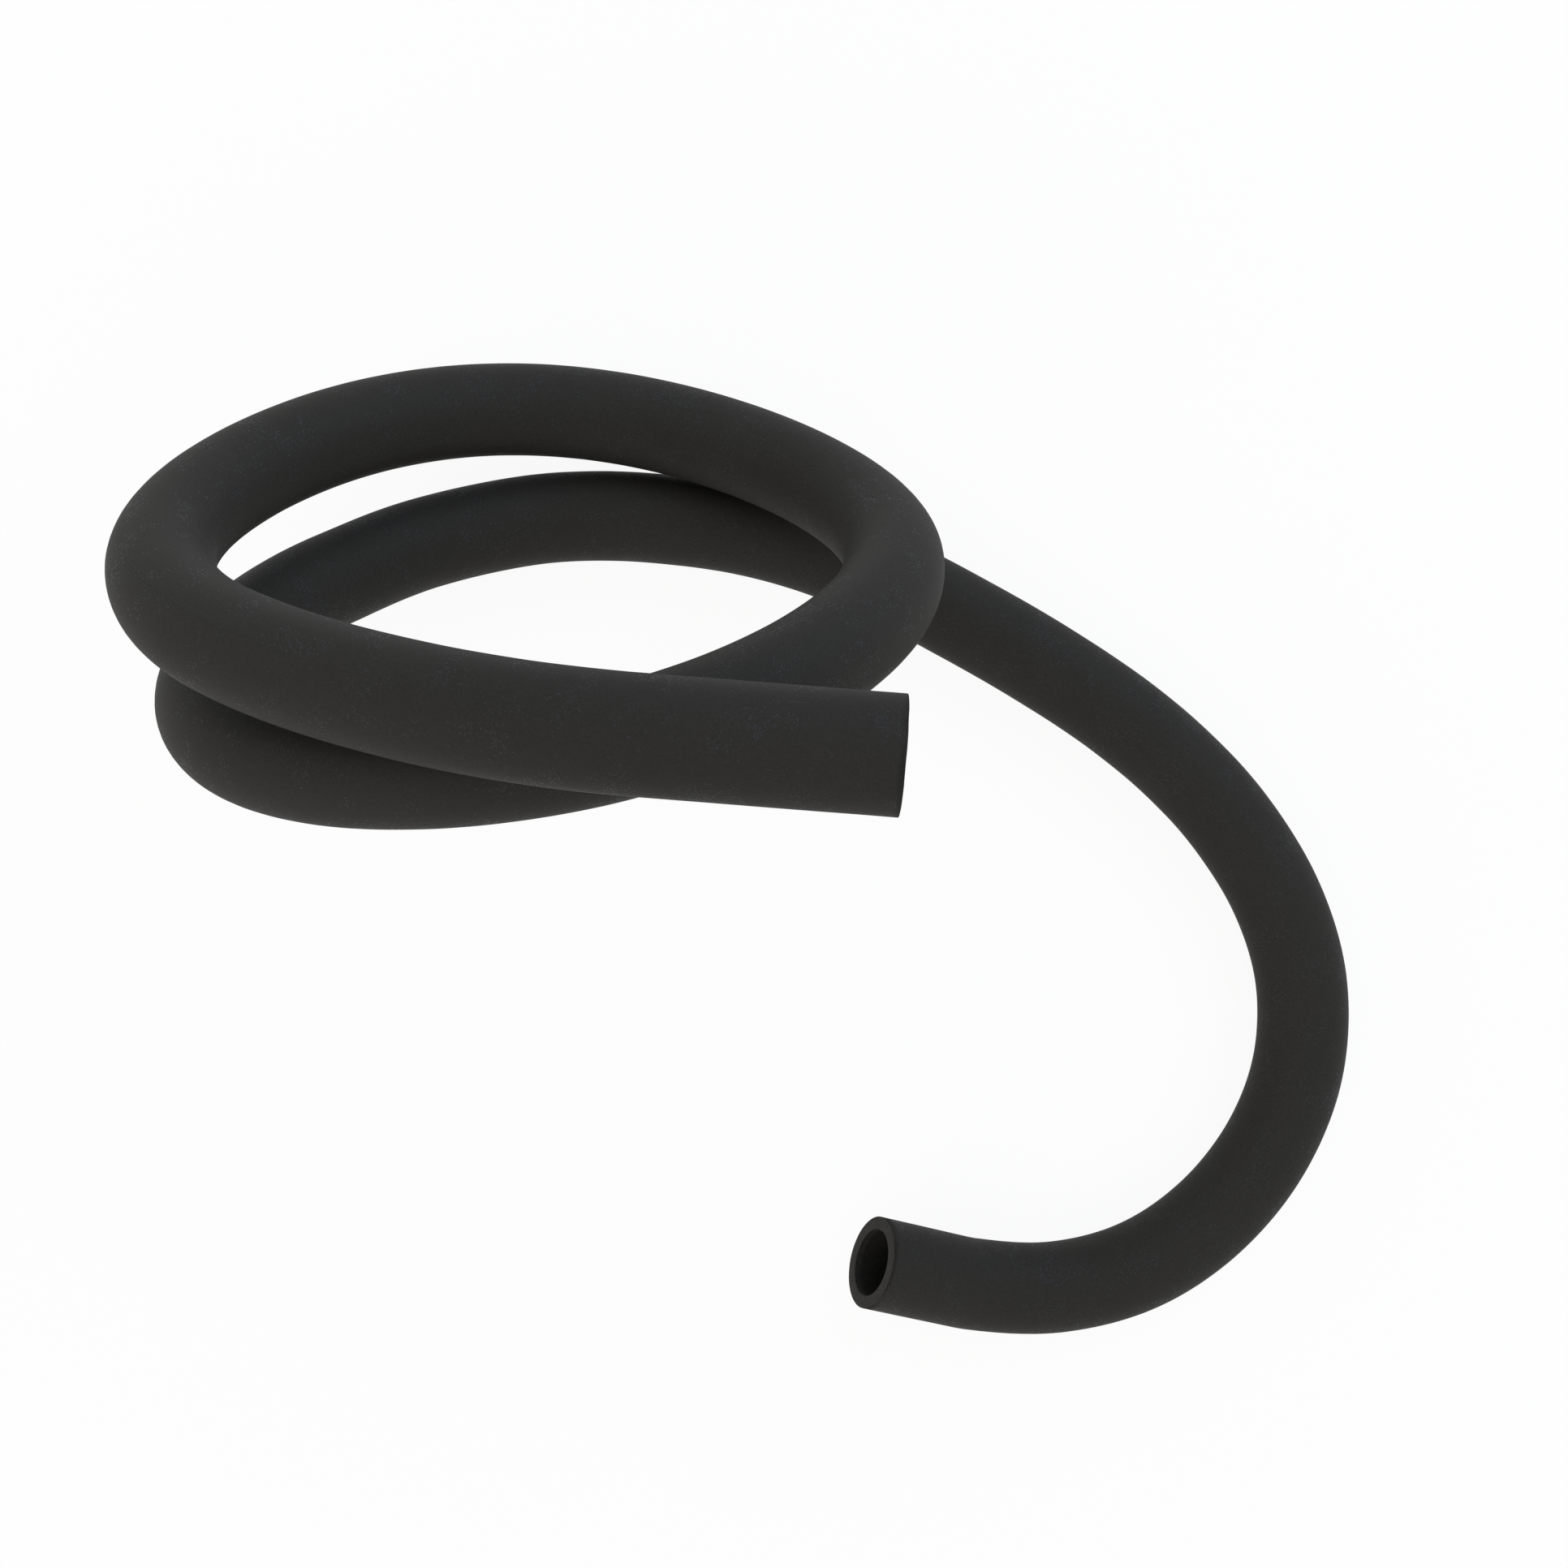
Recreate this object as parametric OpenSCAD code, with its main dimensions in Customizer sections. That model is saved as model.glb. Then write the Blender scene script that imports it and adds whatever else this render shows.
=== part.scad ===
/* [Hose] */
// Bore of the hose
bore_d = 13; // [10:0.5:14]
// Thickness of the porous wall
wall = 2.5; // [2:0.25:3]

/* [Ends] */
// Straight length at each cut end, which a fitting pushes into
end_len = 22; // [16:1:28]
// Straight length of the coil's own tube before the inlet end
inlet_lead = 16.5; // [12:0.5:24]

/* [Coil] */
// Turns of hose in the coil
turns = 1.4; // [1.35:0.01:1.45]
// Radius of the coil's middle line where the coil starts
coil_r = 65; // [60:1:75]
// How much that radius draws in over one turn
draw_in = 6.2; // [4:0.1:8]
// Space left between the first turn and the second as it steps aside
turn_gap = 7.4; // [7:0.1:12]
// How much longer than wide the loops are, to each side of round
oval = 1.2; // [0:0.1:3]
// Where the loops are longest, as an angle in the coil's plane
oval_angle = 35; // [30:1:60]
// How far the loops stand out at four places round, a little square
squareness = 0.6; // [0:0.1:1]
// How far the loops wave to each side of their plane
wave = 2; // [0:0.1:3]
// Where the loops stand highest off their plane
wave_angle = 107; // [100:1:112]
// How much wider the coil starts, before its radius settles
flare = 12.75; // [10:0.25:18]
// How far the coil leans over from lying flat
lean = 61.2; // [58:0.1:62.5]
// Turn of the whole coil about the upright
yaw = -4.4; // [-5:0.1:0]

/* [Hidden] */
$fn = 64;

hose_d = bore_d + 2 * wall;
hose_colour = "#2f2f2e";

// A hose that lies on a surface is pressed flat there, a tenth of its diameter deep
pressed_depth = hose_d / 10;
lying_z = hose_d / 2 - pressed_depth;

// The coil starts at this angle in its plane and winds clockwise
start_angle = -72.75;
// The wide start has settled after this share of a turn
flare_turns = 1 / 6;
// One of the four places where the loops stand out
square_angle = 18;
// Between these two, counted in turns, the hose steps aside from its first turn
step_start = 0.755;
step_end = 1.275;

// Middle line of the hose from the coil's end to the outlet end, in millimetres:
// x, y and the rise above the height at which the hose lies
run_points = [
    [-85, 54, 19], [-71, 61.5, 8], [-50.5, 67, 1], [-35.5, 68, 0], [-20, 67, 0], [-7, 65, 0],
    [7.5, 61, 0], [23, 54.5, 0], [36.5, 47.5, 0], [53, 38, 0], [68, 28, 0], [80, 18, 0],
    [90.5, 6.5, 0], [100, -9, 0], [105, -26, 0], [104, -44.5, 0], [97, -61, 0], [85.5, -74.5, 0],
    [71.5, -83.5, 0], [55, -87.5, 0.5], [37, -86, 3.5]
];
// The way that the outlet end points
outlet_way = [-16, 5, 7];
// The coil's tube goes on to this one of those points, where the hose runs straight
straight_point = 8;

// Rings and sides of the swept tube
rings_per_turn = 24;
sides = 12;

// A short step along the coil, in turns, which gives its direction at the start
small_step = 0.001;
// Overlap of a drill past the faces that it breaks through
over = 1;
// Step between the points on which the least gap is measured
gap_step = 2;
// Hose closer than this along its own length is not a neighbour
near_length = 3 * hose_d;

// ---- The coil's middle line ----

function unit(v) = v / norm(v);

// Smooth step from 0 to 1
function eased(u) =
    let (v = max(0, min(1, u)))
    v * v * (3 - 2 * v);

function turn_angle(t) = start_angle - 360 * t;

// Distance from the coil's axis, t turns from its start
function turn_radius(t) =
    coil_r - draw_in * t
    + oval * cos(2 * (turn_angle(t) - oval_angle))
    + squareness * cos(4 * (turn_angle(t) - square_angle))
    + flare * pow(max(0, 1 - t / flare_turns), 2);

// Height off the coil's plane, t turns from its start
function turn_height(t) =
    wave * cos(2 * (turn_angle(t) - wave_angle))
    - (hose_d + turn_gap) * eased((t - step_start) / (step_end - step_start));

// Leans a point of the flat coil over, and turns it about the upright
function leaned(p) = [p.x, p.y * cos(lean) + p.z * sin(lean), p.z * cos(lean) - p.y * sin(lean)];
function yawed(p) = [p.x * cos(yaw) - p.y * sin(yaw), p.x * sin(yaw) + p.y * cos(yaw), p.z];

function turn_point(t) =
    let (a = turn_angle(t), r = turn_radius(t))
    yawed(leaned([r * cos(a), r * sin(a), turn_height(t)]));

// ---- The route of the whole hose, from the inlet's mouth to the outlet's ----

run = [for (p = run_points) [p.x, p.y, lying_z + p.z]];

// The coil stands where its end meets the start of the run
coil_at = run[0] - turn_point(turns);
coil_steps = ceil(rings_per_turn * turns);
coil_points = [for (i = [0:coil_steps]) coil_at + turn_point(turns * i / coil_steps)];

// Each end leaves in a straight line, and the coil's own tube starts with a length of it
inlet_dir = unit(turn_point(0) - turn_point(small_step));
inlet_seat = coil_points[0] + inlet_dir * inlet_lead;
outlet_dir = unit(outlet_way);
outlet_seat = run[len(run) - 1];

route = concat(
    [inlet_seat],
    coil_points,
    [for (i = [1:len(run) - 1]) run[i]]
);
last_ring = len(route) - 1;
straight_ring = coil_steps + 1 + straight_point;

// Direction of the hose at a ring: square to the straight ends, and half-way round each bend
function heading(i) =
    i == 0 ? -inlet_dir :
    i == last_ring ? outlet_dir :
    unit(unit(route[i + 1] - route[i]) + unit(route[i] - route[i - 1]));
headings = [for (i = [0:last_ring]) heading(i)];

// A vector laid square to a direction
function squared(v, dir) = unit(v - dir * (v * dir));

// One side vector for each ring, carried along the hose so that the tube does not twist
side_dirs = [
    for (i = 0, v = squared([0, 0, 1], headings[0]); i <= last_ring;
        i = i + 1, v = i > last_ring ? v : squared(v, headings[i])) v
];

// ---- The tube ----

function ring_point(i, k, r) =
    let (a = 360 * k / sides)
    route[i] + r * (cos(a) * side_dirs[i] + sin(a) * cross(headings[i], side_dirs[i]));

// A point of the outside, pressed flat where the hose lies on the surface
function pressed(p) = [p.x, p.y, max(p.z, 0)];

// Hollow tube from one ring of the route to another
module tube(first, last) {
    rings = last - first + 1;
    outside = [for (i = [first:last], k = [0:sides - 1]) pressed(ring_point(i, k, hose_d / 2))];
    inside = [for (i = [first:last], k = [0:sides - 1]) ring_point(i, k, bore_d / 2)];

    // Number of a point: layer 0 is the outside and layer 1 the bore
    function at(layer, i, k) = (layer * rings + i) * sides + k % sides;
    // Two triangles for the face between four points, taken clockwise as seen from outside
    function face(a, b, c, d) = [[a, b, c], [a, c, d]];

    faces = [
        for (k = [0:sides - 1]) each concat(
            [for (i = [0:rings - 2]) each face(
                at(0, i, k), at(0, i + 1, k), at(0, i + 1, k + 1), at(0, i, k + 1))],
            [for (i = [0:rings - 2]) each face(
                at(1, i, k), at(1, i, k + 1), at(1, i + 1, k + 1), at(1, i + 1, k))],
            face(at(0, 0, k), at(0, 0, k + 1), at(1, 0, k + 1), at(1, 0, k)),
            face(at(0, rings - 1, k), at(1, rings - 1, k),
                at(1, rings - 1, k + 1), at(0, rings - 1, k + 1))
        )
    ];
    polyhedron(points = concat(outside, inside), faces = faces, convexity = 10);
}

// Straight round end with a true bore, from its seat out to its mouth
module straight_end(seat, dir) {
    translate(seat)
        rotate([0, acos(dir.z), atan2(dir.y, dir.x)])
            difference() {
                cylinder(h = end_len, d = hose_d);
                translate([0, 0, -over]) cylinder(h = end_len + 2 * over, d = bore_d);
            }
}

// ---- The least gap of the hose to itself, measured on points along its middle line ----

whole_line = concat([inlet_seat + inlet_dir * end_len], route, [outlet_seat + outlet_dir * end_len]);
line_points = [
    for (i = [0:len(whole_line) - 2])
        let (a = whole_line[i], b = whole_line[i + 1], n = ceil(norm(b - a) / gap_step))
        for (j = [0:n - 1]) a + (b - a) * j / n
];
near_points = ceil(near_length / gap_step);
least_gap = min([
    for (i = [0:len(line_points) - near_points - 1], j = [i + near_points:len(line_points) - 1])
        norm(line_points[i] - line_points[j])
]) - hose_d;
step_lengths = [for (i = [1:len(whole_line) - 1]) norm(whole_line[i] - whole_line[i - 1])];
hose_length = step_lengths * [for (length = step_lengths) 1];
echo(least_gap_mm = least_gap, hose_length_mm = hose_length);

// ---- Sub-parts ----

module inlet_end() {
    color(hose_colour) straight_end(inlet_seat, inlet_dir);
}

module coil() {
    color(hose_colour) tube(0, straight_ring);
}

module free_run() {
    color(hose_colour) tube(straight_ring, last_ring);
}

module outlet_end() {
    color(hose_colour) straight_end(outlet_seat, outlet_dir);
}

inlet_end();
coil();
free_run();
outlet_end();
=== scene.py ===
"""A length of porous soaker hose: one end stands in a leaning coil, the rest lies on the floor."""

import math

import bpy
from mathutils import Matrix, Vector


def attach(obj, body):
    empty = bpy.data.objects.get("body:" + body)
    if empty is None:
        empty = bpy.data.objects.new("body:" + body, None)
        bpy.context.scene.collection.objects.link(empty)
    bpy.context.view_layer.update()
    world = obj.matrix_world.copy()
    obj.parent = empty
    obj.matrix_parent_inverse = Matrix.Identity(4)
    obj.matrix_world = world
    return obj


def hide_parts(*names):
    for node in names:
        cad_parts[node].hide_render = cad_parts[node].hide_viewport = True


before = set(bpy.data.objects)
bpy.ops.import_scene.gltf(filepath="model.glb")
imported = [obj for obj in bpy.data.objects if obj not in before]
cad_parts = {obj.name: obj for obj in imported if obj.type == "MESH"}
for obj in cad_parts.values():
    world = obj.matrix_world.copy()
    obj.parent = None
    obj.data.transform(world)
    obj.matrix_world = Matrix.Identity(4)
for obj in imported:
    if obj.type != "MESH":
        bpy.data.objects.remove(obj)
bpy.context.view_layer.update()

# ---- Sizes of the hose, in metres ----

BORE = 0.013
WALL = 0.0025
OUTSIDE = BORE + 2 * WALL
CUT_END = 0.022  # straight length at each cut end
INLET_LEAD = 0.0165  # the coil's own straight length before the inlet end
PRESSED = OUTSIDE / 10  # how deep the hose is pressed flat where it lies
LYING = OUTSIDE / 2 - PRESSED  # height of the middle line where it lies
CUT_EDGE = 0.0002  # rounding of the cut edges
RING_SPACING = 0.0015  # between the rings of the tube, and between the points of its route

# The coil: it winds clockwise from its start, in a plane that leans over
TURNS = 1.4
COIL_RADIUS = 0.065
DRAW_IN = 0.0062  # how much the radius draws in over one turn
TURN_GAP = 0.0074  # space between the first turn and the second
OVAL, OVAL_ANGLE = 0.0012, math.radians(35)
SQUARENESS, SQUARE_ANGLE = 0.0006, math.radians(18)
WAVE, WAVE_ANGLE = 0.002, math.radians(107)
FLARE, FLARE_TURNS = 0.01275, 1 / 6  # the coil starts this much wider
STEP_START, STEP_END = 0.755, 1.275  # in turns, where the hose steps aside
START_ANGLE = math.radians(-72.75)
LEAN = math.radians(61.2)
YAW = math.radians(-4.4)
RINGS_PER_TURN = 24  # as in the solid model, whose rings this route passes through
FINER = 8  # points of this route for each of those rings
SMALL_STEP = 0.001  # in turns, to find which way the coil starts

# Middle line from the coil's end to the outlet end: x, y and the rise above lying height
RUN_POINTS = [
    (-0.085, 0.054, 0.019), (-0.071, 0.0615, 0.008), (-0.0505, 0.067, 0.001),
    (-0.0355, 0.068, 0), (-0.020, 0.067, 0), (-0.007, 0.065, 0),
    (0.0075, 0.061, 0), (0.023, 0.0545, 0), (0.0365, 0.0475, 0),
    (0.053, 0.038, 0), (0.068, 0.028, 0), (0.080, 0.018, 0),
    (0.0905, 0.0065, 0), (0.100, -0.009, 0), (0.105, -0.026, 0),
    (0.104, -0.0445, 0), (0.097, -0.061, 0), (0.0855, -0.0745, 0),
    (0.0715, -0.0835, 0), (0.055, -0.0875, 0.0005), (0.037, -0.086, 0.0035),
]
OUTLET_WAY = Vector((-16, 5, 7)).normalized()


def add_object(name, data):
    """A new object in the scene that holds the data."""
    made = bpy.data.objects.new(name, data)
    bpy.context.collection.objects.link(made)
    return made


# ---- Camera ----

CAMERA_PLACE = (0.00062, 0.01391, 0.44682)


def make_camera():
    """An overhead camera that looks straight down, with +Y at the top of its view."""
    data = bpy.data.cameras.new("overhead camera")
    data.lens = 50
    data.sensor_width = 36
    data.clip_start = 0.01
    camera = add_object("overhead camera", data)
    camera.location = CAMERA_PLACE
    bpy.context.scene.camera = camera


make_camera()

# ---- Route of the hose ----


def eased(share):
    """A smooth step from 0 to 1."""
    share = min(1, max(0, share))
    return share * share * (3 - 2 * share)


def coil_point(turns):
    """The middle line so many turns from the coil's start, with its centre at the origin."""
    angle = START_ANGLE - 2 * math.pi * turns
    radius = (
        COIL_RADIUS
        - DRAW_IN * turns
        + OVAL * math.cos(2 * (angle - OVAL_ANGLE))
        + SQUARENESS * math.cos(4 * (angle - SQUARE_ANGLE))
        + FLARE * max(0, 1 - turns / FLARE_TURNS) ** 2
    )
    x, y = radius * math.cos(angle), radius * math.sin(angle)
    aside = eased((turns - STEP_START) / (STEP_END - STEP_START))
    z = WAVE * math.cos(2 * (angle - WAVE_ANGLE)) - (OUTSIDE + TURN_GAP) * aside
    # Lean the flat coil over, then turn it about the upright
    y, z = (
        y * math.cos(LEAN) + z * math.sin(LEAN),
        z * math.cos(LEAN) - y * math.sin(LEAN),
    )
    return Vector(
        (x * math.cos(YAW) - y * math.sin(YAW), x * math.sin(YAW) + y * math.cos(YAW), z)
    )


def curve_through(points, steps):
    """A smooth line through all points but the first and last, which only set its way there."""
    line = []
    for p0, p1, p2, p3 in zip(points, points[1:], points[2:], points[3:]):
        t1 = math.sqrt((p1 - p0).length)
        t2 = t1 + math.sqrt((p2 - p1).length)
        t3 = t2 + math.sqrt((p3 - p2).length)
        for i in range(steps):
            t = t1 + (t2 - t1) * i / steps
            a1 = p0.lerp(p1, t / t1)
            a2 = p1.lerp(p2, (t - t1) / (t2 - t1))
            a3 = p2.lerp(p3, (t - t2) / (t3 - t2))
            b1 = a1.lerp(a2, t / t2)
            b2 = a2.lerp(a3, (t - t1) / (t3 - t1))
            line.append(b1.lerp(b2, (t - t1) / (t2 - t1)))
    return line + [points[-2]]


def evenly(line, step):
    """Points along the line at an even spacing near step, with both of its ends."""
    reached = [0]
    for a, b in zip(line, line[1:]):
        reached.append(reached[-1] + (b - a).length)
    count = round(reached[-1] / step)
    even, at = [], 0
    for i in range(count + 1):
        want = reached[-1] * i / count
        while at < len(line) - 2 and reached[at + 1] < want:
            at += 1
        share = (want - reached[at]) / (reached[at + 1] - reached[at])
        even.append(line[at].lerp(line[at + 1], share))
    return even


def hose_route():
    """The hose's middle line from the inlet's mouth to the outlet's."""
    rings = math.ceil(RINGS_PER_TURN * TURNS)
    run = [Vector((x, y, LYING + rise)) for x, y, rise in RUN_POINTS]
    # The coil stands where its end meets the start of the run
    moved = run[0] - coil_point(TURNS)
    steps = rings * FINER
    coil = [moved + coil_point(TURNS * i / steps) for i in range(steps + 1)]
    inlet_way = (coil_point(0) - coil_point(SMALL_STEP)).normalized()
    inlet = coil[0] + inlet_way * (INLET_LEAD + CUT_END)
    outlet = run[-1] + OUTLET_WAY * CUT_END
    before = moved + coil_point(TURNS * (rings - 1) / rings)
    tail = curve_through([before, *run, outlet], FINER)
    return [inlet, *coil, *tail[1:], outlet]


route = evenly(hose_route(), RING_SPACING)

# ---- Building node trees ----

NOISE_MIDDLE = 0.5  # a noise texture's value runs from 0 to 1


def put(tree, kind, inputs=None, **settings):
    """Adds a node. inputs goes by socket name or number: values, or other nodes' sockets."""
    node = tree.nodes.new(kind)
    rows, column_width, row_height = 5, 220, 260
    column, row = divmod(len(tree.nodes), rows)
    node.location = (column_width * column, -row_height * row)
    for name, value in settings.items():
        setattr(node, name, value)
    for key, value in (inputs or {}).items():
        if isinstance(value, bpy.types.NodeSocket):
            tree.links.new(value, node.inputs[key])
        else:
            node.inputs[key].default_value = value
    return node


def number(tree, operation, *values, **settings):
    """A Math node's result."""
    inputs = dict(enumerate(values))
    return put(tree, "ShaderNodeMath", inputs, operation=operation, **settings).outputs[0]


def arrow(tree, operation, *values):
    """A Vector Math node's result: a vector, or a value for a length or distance."""
    node = put(tree, "ShaderNodeVectorMath", dict(enumerate(values)), operation=operation)
    return node.outputs["Value" if operation in ("DISTANCE", "LENGTH") else "Vector"]


def scaled(tree, vector, factor):
    """A vector made longer or shorter by a factor."""
    inputs = {0: vector, "Scale": factor}
    return put(tree, "ShaderNodeVectorMath", inputs, operation="SCALE").outputs["Vector"]


def joined(tree, x, y, z=0.0):
    """A vector from its three numbers."""
    return put(tree, "ShaderNodeCombineXYZ", {"X": x, "Y": y, "Z": z}).outputs["Vector"]


def parted(tree, vector):
    """A vector's three numbers, by the names X, Y and Z."""
    return put(tree, "ShaderNodeSeparateXYZ", {"Vector": vector}).outputs


def ranged(tree, value, old, new):
    """A value carried over from the old range to the new one, and held within it."""
    inputs = {
        "Value": value,
        "From Min": old[0],
        "From Max": old[1],
        "To Min": new[0],
        "To Max": new[1],
    }
    return put(tree, "ShaderNodeMapRange", inputs).outputs["Result"]


def blended(tree, factor, first, second):
    """A mix of two colours, which goes from the first at 0 to the second at 1."""
    first_colour, second_colour, mixed_colour = 6, 7, 2
    inputs = {"Factor": factor, first_colour: first, second_colour: second}
    return put(tree, "ShaderNodeMix", inputs, data_type="RGBA").outputs[mixed_colour]


def new_group(name, kind, sockets):
    """A node group with its named inputs and outputs. Returns it, its inputs and its output."""
    tree = bpy.data.node_groups.new(name, kind)
    for way, label, sort, value in sockets:
        made = tree.interface.new_socket(label, in_out=way, socket_type="NodeSocket" + sort)
        if value is not None:
            made.default_value = value
    given = put(tree, "NodeGroupInput").outputs
    return tree, given, put(tree, "NodeGroupOutput")


def emptied_tree(owner):
    """The node tree of a material or world, with nothing in it yet."""
    owner.use_nodes = True
    owner.node_tree.nodes.clear()
    return owner.node_tree


# ---- The hose wall, swept along the route ----


def held_value(tree, curve, kind, name, value):
    """Keeps a value on a curve's points. Returns the curve and the value kept there."""
    held = put(tree, "GeometryNodeCaptureAttribute")
    held.capture_items.new(kind, name)
    tree.links.new(curve, held.inputs["Geometry"])
    tree.links.new(value, held.inputs[name])
    return held.outputs["Geometry"], held.outputs[name]


def wall_section(tree, given, length, wall_middle):
    """The wall of the straight hose, cut lengthwise: a long bar with rounded corners, x along
    the hose and y out from its middle line. Returns its outline and the places on it."""
    bar = put(
        tree,
        "GeometryNodeCurvePrimitiveQuadrilateral",
        {"Width": length, "Height": given["Wall"]},
    ).outputs["Curve"]
    middle = joined(tree, number(tree, "DIVIDE", length, 2.0), wall_middle)
    bar = put(tree, "GeometryNodeSetPosition", {"Geometry": bar, "Offset": middle})
    bar = put(
        tree,
        "GeometryNodeFilletCurve",
        {
            "Curve": bar.outputs["Geometry"],
            "Count": given["Cut edge steps"],
            "Radius": given["Cut edge"],
        },
        mode="POLY",
    ).outputs["Curve"]

    # Each side that is longer than the ring spacing is divided by it
    place = put(tree, "GeometryNodeInputPosition").outputs["Position"]
    index = put(tree, "GeometryNodeInputIndex").outputs["Index"]
    size = put(tree, "GeometryNodeAttributeDomainSize", {"Geometry": bar}, component="CURVE")
    after = number(tree, "MODULO", number(tree, "ADD", index, 1.0), size.outputs["Point Count"])
    next_place = put(
        tree,
        "GeometryNodeFieldAtIndex",
        {"Index": after, "Value": place},
        data_type="FLOAT_VECTOR",
        domain="POINT",
    ).outputs["Value"]
    side = arrow(tree, "DISTANCE", place, next_place)
    cuts = number(tree, "FLOOR", number(tree, "DIVIDE", side, given["Ring spacing"]))
    bar = put(tree, "GeometryNodeSubdivideCurve", {"Curve": bar, "Cuts": cuts})
    return held_value(tree, bar.outputs["Curve"], "VECTOR", "Place", place)


def once_round(tree, sides):
    """A circle for the section to follow. Returns it and the angle of each of its points."""
    circle = put(tree, "GeometryNodeCurvePrimitiveCircle", {"Resolution": sides, "Radius": 1.0})
    index = put(tree, "GeometryNodeInputIndex").outputs["Index"]
    angle = number(tree, "MULTIPLY", number(tree, "DIVIDE", index, sides), 2 * math.pi)
    return held_value(tree, circle.outputs["Curve"], "FLOAT", "Angle", angle)


def wall_noise(tree, place, lump_length, seed):
    """Smooth noise over the wall, from 0 to 1, in lumps about that long."""
    inputs = {
        "Vector": scaled(tree, place, number(tree, "DIVIDE", 1.0, lump_length)),
        "W": seed,
        "Scale": 1.0,
        "Detail": 2.0,
    }
    return put(tree, "ShaderNodeTexNoise", inputs, noise_dimensions="4D").outputs[0]


def pressed_flat(tree, place, skin_height, softness):
    """Lifts a place of the wall as far as the outside there would go below the floor, so that
    wall and bore rise together. The lift sets in softly."""
    softened = number(tree, "MULTIPLY", softness, softness)
    softened = number(tree, "MULTIPLY_ADD", skin_height, skin_height, softened)
    softened = number(tree, "SQRT", softened)
    lift = number(tree, "DIVIDE", number(tree, "SUBTRACT", softened, skin_height), 2.0)
    parts = parted(tree, place)
    height = number(tree, "MAXIMUM", number(tree, "ADD", parts["Z"], lift), 0.0)
    return joined(tree, parts["X"], parts["Y"], height)


def hose_wall_tree():
    """Bends a straight hose with rounded cut edges along the route, and presses it flat."""
    tree, given, result = new_group(
        "hose wall",
        "GeometryNodeTree",
        [
            ("INPUT", "Route", "Geometry", None),
            ("INPUT", "Outside radius", "Float", OUTSIDE / 2),
            ("INPUT", "Wall", "Float", WALL),
            ("INPUT", "Cut edge", "Float", CUT_EDGE),
            ("INPUT", "Cut edge steps", "Int", 4),
            ("INPUT", "Ring spacing", "Float", RING_SPACING),
            ("INPUT", "Sides", "Int", 60),
            ("INPUT", "Unevenness", "Float", 0.00005),
            ("INPUT", "Unevenness length", "Float", 0.012),
            ("INPUT", "Unevenness seed", "Float", 3.0),
            ("INPUT", "Cut unevenness", "Float", 0.0002),
            ("INPUT", "Cut unevenness length", "Float", 0.004),
            ("INPUT", "Cut unevenness seed", "Float", 10.0),
            ("INPUT", "Press softness", "Float", 0.0006),
            ("INPUT", "Outside rubber", "Material", None),
            ("INPUT", "Cut rubber", "Material", None),
            ("INPUT", "Bore rubber", "Material", None),
            ("OUTPUT", "Hose", "Geometry", None),
        ],
    )
    radius, edge = given["Outside radius"], given["Cut edge"]
    wall_middle = number(tree, "SUBTRACT", radius, number(tree, "DIVIDE", given["Wall"], 2.0))
    curve = put(tree, "GeometryNodeMeshToCurve", {"Mesh": given["Route"]}).outputs["Curve"]
    length = put(tree, "GeometryNodeCurveLength", {"Curve": curve}).outputs["Length"]

    # The section goes once round, and each point gets its place on the straight hose
    section, section_place = wall_section(tree, given, length, wall_middle)
    circle, angle = once_round(tree, given["Sides"])
    shell = put(tree, "GeometryNodeCurveToMesh", {"Curve": circle, "Profile Curve": section})
    section_parts = parted(tree, section_place)
    along, out = section_parts["X"], section_parts["Y"]
    cosine, sine = number(tree, "COSINE", angle), number(tree, "SINE", angle)
    unbent = joined(
        tree, along, number(tree, "MULTIPLY", out, cosine), number(tree, "MULTIPLY", out, sine)
    )
    shell = put(
        tree,
        "GeometryNodeStoreNamedAttribute",
        {"Geometry": shell.outputs["Mesh"], "Name": "unbent", "Value": unbent},
        data_type="FLOAT_VECTOR",
        domain="POINT",
    ).outputs["Geometry"]

    # The extruded wall swells and thins a little
    swell = wall_noise(tree, unbent, given["Unevenness length"], given["Unevenness seed"])
    swell = number(tree, "SUBTRACT", swell, NOISE_MIDDLE)
    swell_range = number(tree, "MULTIPLY", given["Unevenness"], 2.0)
    uneven_out = number(tree, "MULTIPLY_ADD", swell, swell_range, out)

    # Each cut is trimmed inwards a little, more in one place than in another
    at_start = number(tree, "LESS_THAN", along, edge)
    at_end = number(tree, "GREATER_THAN", along, number(tree, "SUBTRACT", length, edge))
    inwards = number(tree, "SUBTRACT", at_start, at_end)
    trim_length, trim_seed = given["Cut unevenness length"], given["Cut unevenness seed"]
    trim = wall_noise(tree, unbent, trim_length, trim_seed)
    trim = number(tree, "MULTIPLY", trim, given["Cut unevenness"])
    uneven_along = number(tree, "MULTIPLY_ADD", trim, inwards, along)

    # Bend along the route, and press flat on the floor
    on_route = put(
        tree,
        "GeometryNodeSampleCurve",
        {"Curves": curve, "Length": uneven_along},
        mode="LENGTH",
        use_all_curves=True,
    ).outputs
    side = on_route["Normal"]
    other_side = arrow(tree, "CROSS_PRODUCT", on_route["Tangent"], side)
    outward = arrow(tree, "ADD", scaled(tree, side, cosine), scaled(tree, other_side, sine))
    bent = arrow(tree, "ADD", on_route["Position"], scaled(tree, outward, uneven_out))
    skin = arrow(tree, "ADD", on_route["Position"], scaled(tree, outward, radius))
    skin_height = parted(tree, skin)["Z"]
    pressed = pressed_flat(tree, bent, skin_height, given["Press softness"])
    hose = put(tree, "GeometryNodeSetPosition", {"Geometry": shell, "Position": pressed})
    hose = put(tree, "GeometryNodeSetShadeSmooth", {"Geometry": hose.outputs["Geometry"]})
    hose = put(tree, "GeometryNodeRealizeInstances", {"Geometry": hose.outputs["Geometry"]})
    hose = hose.outputs["Geometry"]

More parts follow.
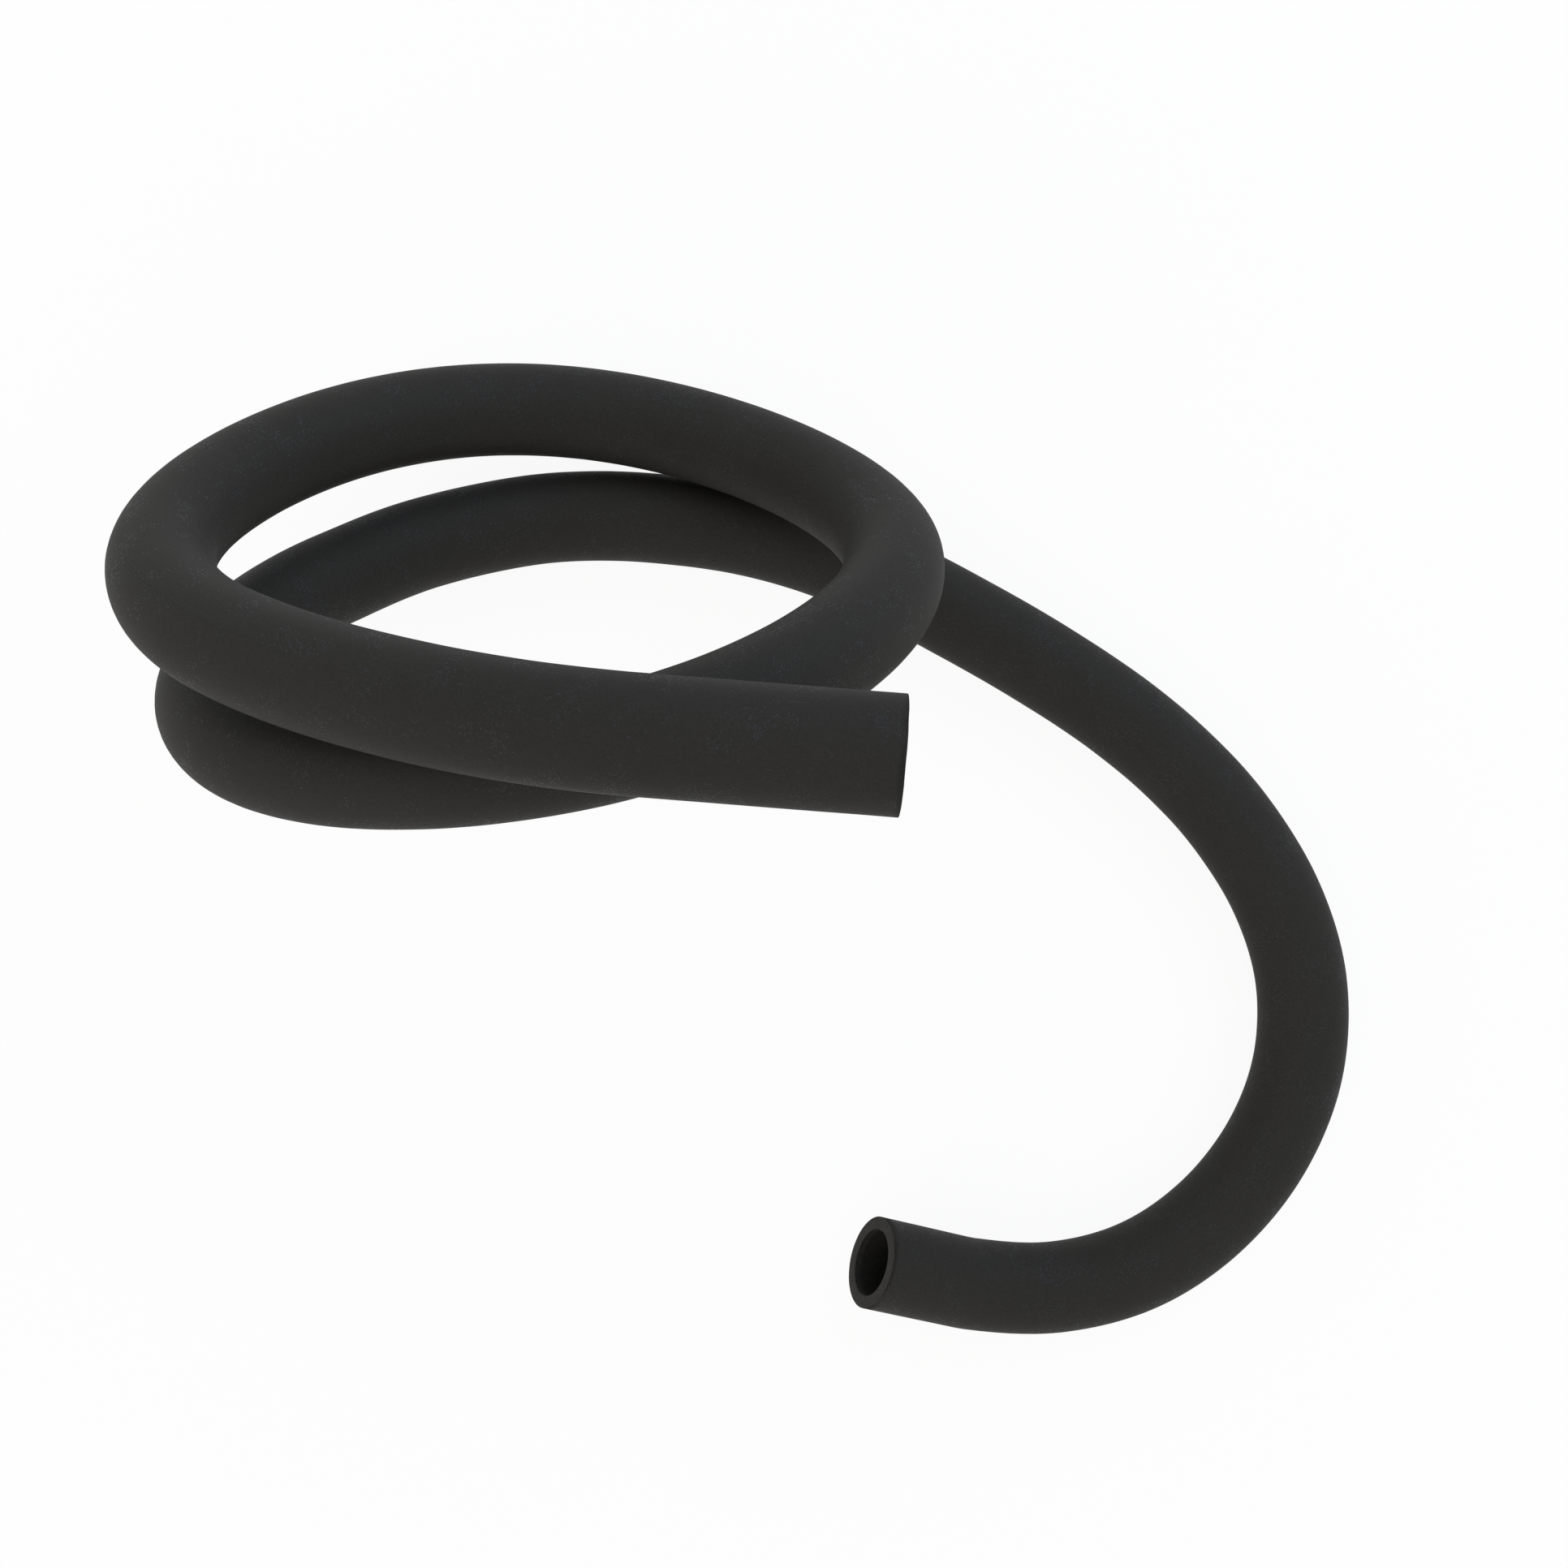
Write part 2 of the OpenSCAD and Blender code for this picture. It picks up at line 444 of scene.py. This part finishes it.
    # Rubber of the outside, then of the bore, then of the two cut faces
    in_bore = number(tree, "LESS_THAN", out, wall_middle)
    half_edge = number(tree, "DIVIDE", edge, 2.0)
    before_end = number(tree, "SUBTRACT", length, half_edge)
    on_inlet_cut = number(tree, "LESS_THAN", along, half_edge)
    on_outlet_cut = number(tree, "GREATER_THAN", along, before_end)
    on_cut = number(tree, "MAXIMUM", on_inlet_cut, on_outlet_cut)
    for label, where in (
        ("Outside rubber", True),
        ("Bore rubber", in_bore),
        ("Cut rubber", on_cut),
    ):
        inputs = {"Geometry": hose, "Selection": where, "Material": given[label]}
        hose = put(tree, "GeometryNodeSetMaterial", inputs).outputs["Geometry"]
    tree.links.new(hose, result.inputs["Hose"])
    return tree


def plain_mesh(name, host, tree, inputs):
    """The tree's result on host as a plain mesh object. host and its modifier are removed."""
    modifier = host.modifiers.new(tree.name, "NODES")
    modifier.node_group = tree
    sockets = {s.name: s.identifier for s in tree.interface.items_tree if s.in_out == "INPUT"}
    for label, value in inputs.items():
        modifier[sockets[label]] = value
    evaluated = host.evaluated_get(bpy.context.evaluated_depsgraph_get())
    mesh = bpy.data.meshes.new_from_object(evaluated)
    mesh.name = name
    bpy.data.objects.remove(host)
    return add_object(name, mesh)


def line_object(points):
    """A mesh of one open line of edges, for a tree that follows it."""
    mesh = bpy.data.meshes.new("route")
    mesh.from_pydata(points, [(i, i + 1) for i in range(len(points) - 1)], [])
    return add_object("route", mesh)


# ---- Rubber ----

# How much of a crumb's tone, from dark to pale, comes from each of these
CRUMB_TONE, GRIT_TONE, CLOUD_TONE = 0.45, 0.35, 0.35
# Grit is finer than the crumbs and pores are coarser, as a scale against them
GRIT_SCALE, PORE_SCALE = 1.7, 0.45
# Clouds of tone and patches of flecks, as a scale in metres
CLOUD_SCALE, PATCH_SCALE = 70.0, 160.0
# A patch goes from no flecks at the first of these noise values to three times their share
PATCH_NOISE, PATCH_SHARE = (0.48, 0.68), (0.0, 3.0)
FLECK_RADIUS = 0.45  # against the size of its crumb
PORE_RADIUS = 0.22  # against the distance between pores
PORE_SHARE = 0.3  # the share of those places where a pore is open
ROUGHNESS_RANGE = 0.3
# What each of these does to the height; a crumb falls away from its middle
CRUMB_HEIGHT, GRIT_HEIGHT, PORE_HEIGHT = -0.6, 0.8, -0.8


def crumb_group():
    """Ground rubber crumb pressed together: its colour, roughness and height over the surface."""
    tree, given, result = new_group(
        "rubber crumb",
        "ShaderNodeTree",
        [
            ("INPUT", "Place", "Vector", None),
            ("INPUT", "Crumb size", "Float", 0.0006),
            ("INPUT", "Dark crumb", "Color", (0.01, 0.01, 0.01, 1)),
            ("INPUT", "Pale crumb", "Color", (0.03, 0.03, 0.03, 1)),
            # Colour of the flecks: real pale specks in the cut rubber, a painted bluish glint on
            # the outside rubber
            ("INPUT", "Fleck and painted glint", "Color", (0.12, 0.12, 0.12, 1)),
            ("INPUT", "Fleck share", "Float", 0.01),
            ("INPUT", "Fleck polish", "Float", 0.25),
            ("INPUT", "Roughness", "Float", 0.75),
            ("OUTPUT", "Colour", "Color", None),
            ("OUTPUT", "Roughness", "Float", None),
            ("OUTPUT", "Height", "Float", None),
        ],
    )
    place = given["Place"]
    at = scaled(tree, place, number(tree, "DIVIDE", 1.0, given["Crumb size"]))
    crumbs = put(tree, "ShaderNodeTexVoronoi", {"Vector": at, "Scale": 1.0}).outputs
    crumb_draw = put(tree, "ShaderNodeSeparateColor", {"Color": crumbs["Color"]}).outputs

    def noise(where, scale, **shape):
        inputs = {"Vector": where, "Scale": scale, **shape}
        return put(tree, "ShaderNodeTexNoise", inputs).outputs[0]

    grit = noise(at, GRIT_SCALE, Detail=3.0, Roughness=0.6)
    clouds = noise(place, CLOUD_SCALE, Detail=2.0)
    tone = number(tree, "MULTIPLY", grit, GRIT_TONE)
    tone = number(tree, "MULTIPLY_ADD", crumb_draw["Red"], CRUMB_TONE, tone)
    tone = number(tree, "MULTIPLY_ADD", clouds, CLOUD_TONE, tone, use_clamp=True)
    colour = blended(tree, tone, given["Dark crumb"], given["Pale crumb"])

    # Some crumbs hold a small, smoother fleck. Its colour is partly painted light: on the outside
    # rubber it is paler and bluer than the crumbs, a painted glint of the cool lamp
    patch = ranged(tree, noise(place, PATCH_SCALE, Detail=2.0), PATCH_NOISE, PATCH_SHARE)
    share = number(tree, "MULTIPLY", given["Fleck share"], patch)
    least_draw = number(tree, "SUBTRACT", 1.0, share)
    chosen = number(tree, "GREATER_THAN", crumb_draw["Green"], least_draw)
    inside = number(tree, "LESS_THAN", crumbs["Distance"], FLECK_RADIUS)
    fleck = number(tree, "MULTIPLY", chosen, inside)
    tree.links.new(blended(tree, fleck, colour, given["Fleck and painted glint"]), result.inputs["Colour"])

    rough = number(tree, "SUBTRACT", grit, NOISE_MIDDLE)
    rough = number(tree, "MULTIPLY_ADD", rough, ROUGHNESS_RANGE, given["Roughness"])
    polish = number(tree, "MULTIPLY", fleck, given["Fleck polish"])
    rough = number(tree, "SUBTRACT", rough, polish, use_clamp=True)
    tree.links.new(rough, result.inputs["Roughness"])

    # Rounded crumbs, grit on them, and a few open pores between
    pores = put(tree, "ShaderNodeTexVoronoi", {"Vector": at, "Scale": PORE_SCALE}).outputs
    pore_draw = put(tree, "ShaderNodeSeparateColor", {"Color": pores["Color"]}).outputs["Red"]
    is_open = number(tree, "GREATER_THAN", pore_draw, 1.0 - PORE_SHARE)
    in_pore = number(tree, "LESS_THAN", pores["Distance"], PORE_RADIUS)
    open_pore = number(tree, "MULTIPLY", is_open, in_pore)
    height = number(tree, "MULTIPLY", grit, GRIT_HEIGHT)
    height = number(tree, "MULTIPLY_ADD", crumbs["Distance"], CRUMB_HEIGHT, height)
    height = number(tree, "MULTIPLY_ADD", open_pore, PORE_HEIGHT, height)
    tree.links.new(height, result.inputs["Height"])
    return tree


CRUMB = crumb_group()


def rubber(name, crumb, bump, depth, specular):
    """A rubber whose crumb pattern follows the hose. crumb holds the crumb group's values."""
    material = bpy.data.materials.new(name)
    tree = emptied_tree(material)
    on_hose = put(tree, "ShaderNodeAttribute", attribute_name="unbent").outputs["Vector"]
    pattern = put(tree, "ShaderNodeGroup", node_tree=CRUMB)
    tree.links.new(on_hose, pattern.inputs["Place"])
    for label, value in crumb.items():
        pattern.inputs[label].default_value = value
    relief = put(
        tree,
        "ShaderNodeBump",
        {"Strength": bump, "Distance": depth, "Height": pattern.outputs["Height"]},
    )
    shader = put(
        tree,
        "ShaderNodeBsdfPrincipled",
        {
            "Base Color": pattern.outputs["Colour"],
            "Roughness": pattern.outputs["Roughness"],
            "Normal": relief.outputs["Normal"],
            "Specular IOR Level": specular,
        },
    )
    put(tree, "ShaderNodeOutputMaterial", {"Surface": shader.outputs["BSDF"]})
    return material


outside_rubber = rubber(
    "porous rubber",
    {
        "Crumb size": 0.0003,
        "Dark crumb": (0.0144, 0.0140, 0.0121, 1),
        "Pale crumb": (0.0237, 0.0230, 0.0200, 1),
        # Paler and bluer than the crumbs: a painted glint of the cool lamp on the smoother flecks
        "Fleck and painted glint": (0.026, 0.029, 0.036, 1),
        "Fleck share": 0.10,
        "Fleck polish": 0.22,
        "Roughness": 0.68,
    },
    bump=0.3,
    depth=0.00008,
    specular=0.16,
)
cut_rubber = rubber(
    "cut rubber",
    {
        "Crumb size": 0.0005,
        "Dark crumb": (0.0180, 0.0176, 0.0158, 1),
        "Pale crumb": (0.0400, 0.0394, 0.0353, 1),
        "Fleck and painted glint": (0.08, 0.08, 0.07, 1),
        "Fleck share": 0.004,
        "Roughness": 0.85,
    },
    bump=0.6,
    depth=0.00015,
    specular=0.18,
)
bore_rubber = rubber(
    "bore rubber",
    {
        "Crumb size": 0.0005,
        "Dark crumb": (0.011, 0.011, 0.010, 1),
        "Pale crumb": (0.024, 0.024, 0.022, 1),
        "Fleck share": 0.0,
        "Roughness": 0.8,
    },
    bump=0.4,
    depth=0.00010,
    specular=0.05,
)

# ---- The hose ----

hose = plain_mesh(
    "porous_hose",
    line_object(route),
    hose_wall_tree(),
    {"Outside rubber": outside_rubber, "Cut rubber": cut_rubber, "Bore rubber": bore_rubber},
)
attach(hose, "root")
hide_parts("inlet_end", "coil", "free_run", "outlet_end")

# ---- Floor, world and lamps ----

WHITE = (1, 1, 1, 1)
PALE = (0.93, 0.93, 0.93, 1)
FLOOR_REACH = 3.0  # from the middle to each side
FLOOR_DROP = 0.0002  # how far the floor lies below the hose
# The floor is a little less white within the first of these distances, where it keeps the
# hose's shadow, and quite white from the second on
SHADOW_REACH, FLOOR_WHITENESS = (0.1, 0.6), (0.92, 1.0)
# Strength of the world as it lights the hose, and as it is seen
WORLD_STRENGTH = (0.76, 1.0)
LAMP_SIDE = 0.9
LAMP_AIM = Vector((0, 0, 0.04))


def seen_directly(tree):
    """1 where a ray comes from the camera, a reflection or glass, and 0 where it only lights."""
    ray = put(tree, "ShaderNodeLightPath").outputs
    seen = number(tree, "MAXIMUM", ray["Is Camera Ray"], ray["Is Glossy Ray"])
    return number(tree, "MAXIMUM", seen, ray["Is Transmission Ray"])


def make_floor():
    """A plain pale floor that looks white, keeps the hose's shadow, and is clear from below."""
    mesh = bpy.data.meshes.new("floor")
    reach = FLOOR_REACH
    corners = [(-reach, -reach, 0), (reach, -reach, 0), (reach, reach, 0), (-reach, reach, 0)]
    mesh.from_pydata(corners, [], [(0, 1, 2, 3)])
    floor = add_object("floor", mesh)
    floor.location.z = -FLOOR_DROP
    material = bpy.data.materials.new("pale floor")
    mesh.materials.append(material)
    tree = emptied_tree(material)
    pale = put(tree, "ShaderNodeBsdfDiffuse", {"Color": PALE}).outputs["BSDF"]
    white = put(tree, "ShaderNodeEmission", {"Color": WHITE, "Strength": 1.0})
    from_middle = arrow(tree, "LENGTH", put(tree, "ShaderNodeTexCoord").outputs["Object"])
    whiteness = ranged(tree, from_middle, SHADOW_REACH, FLOOR_WHITENESS)
    white_share = number(tree, "MULTIPLY", seen_directly(tree), whiteness)
    above = put(
        tree, "ShaderNodeMixShader", {0: white_share, 1: pale, 2: white.outputs["Emission"]}
    ).outputs[0]
    clear = put(tree, "ShaderNodeBsdfTransparent").outputs["BSDF"]
    from_below = put(tree, "ShaderNodeNewGeometry").outputs["Backfacing"]
    both = put(tree, "ShaderNodeMixShader", {0: from_below, 1: above, 2: clear})
    put(tree, "ShaderNodeOutputMaterial", {"Surface": both.outputs[0]})


def make_world():
    """An even pale light from all round, white where it is seen."""
    world = bpy.data.worlds.new("studio")
    bpy.context.scene.world = world
    tree = emptied_tree(world)
    strength = ranged(tree, seen_directly(tree), (0.0, 1.0), WORLD_STRENGTH)
    light = put(tree, "ShaderNodeBackground", {"Color": WHITE, "Strength": strength})
    put(tree, "ShaderNodeOutputWorld", {"Surface": light.outputs["Background"]})


def make_lamp(name, place, power, colour):
    """A square soft box that points at the middle of the hose."""
    data = bpy.data.lights.new(name, "AREA")
    data.size = LAMP_SIDE
    data.energy = power
    data.color = colour
    lamp = add_object(name, data)
    lamp.location = place
    lamp.rotation_euler = (LAMP_AIM - lamp.location).to_track_quat("-Z", "Y").to_euler()
    lamp.visible_camera = False


make_floor()
make_world()
make_lamp("cool soft box", (0.7, 0.9, 0.8), power=5.0, colour=(0.54, 0.67, 1.0))
make_lamp("warm soft box", (-0.8, -0.9, 0.8), power=3.3, colour=(1.0, 0.80, 0.67))
bpy.context.scene.view_settings.view_transform = "Standard"
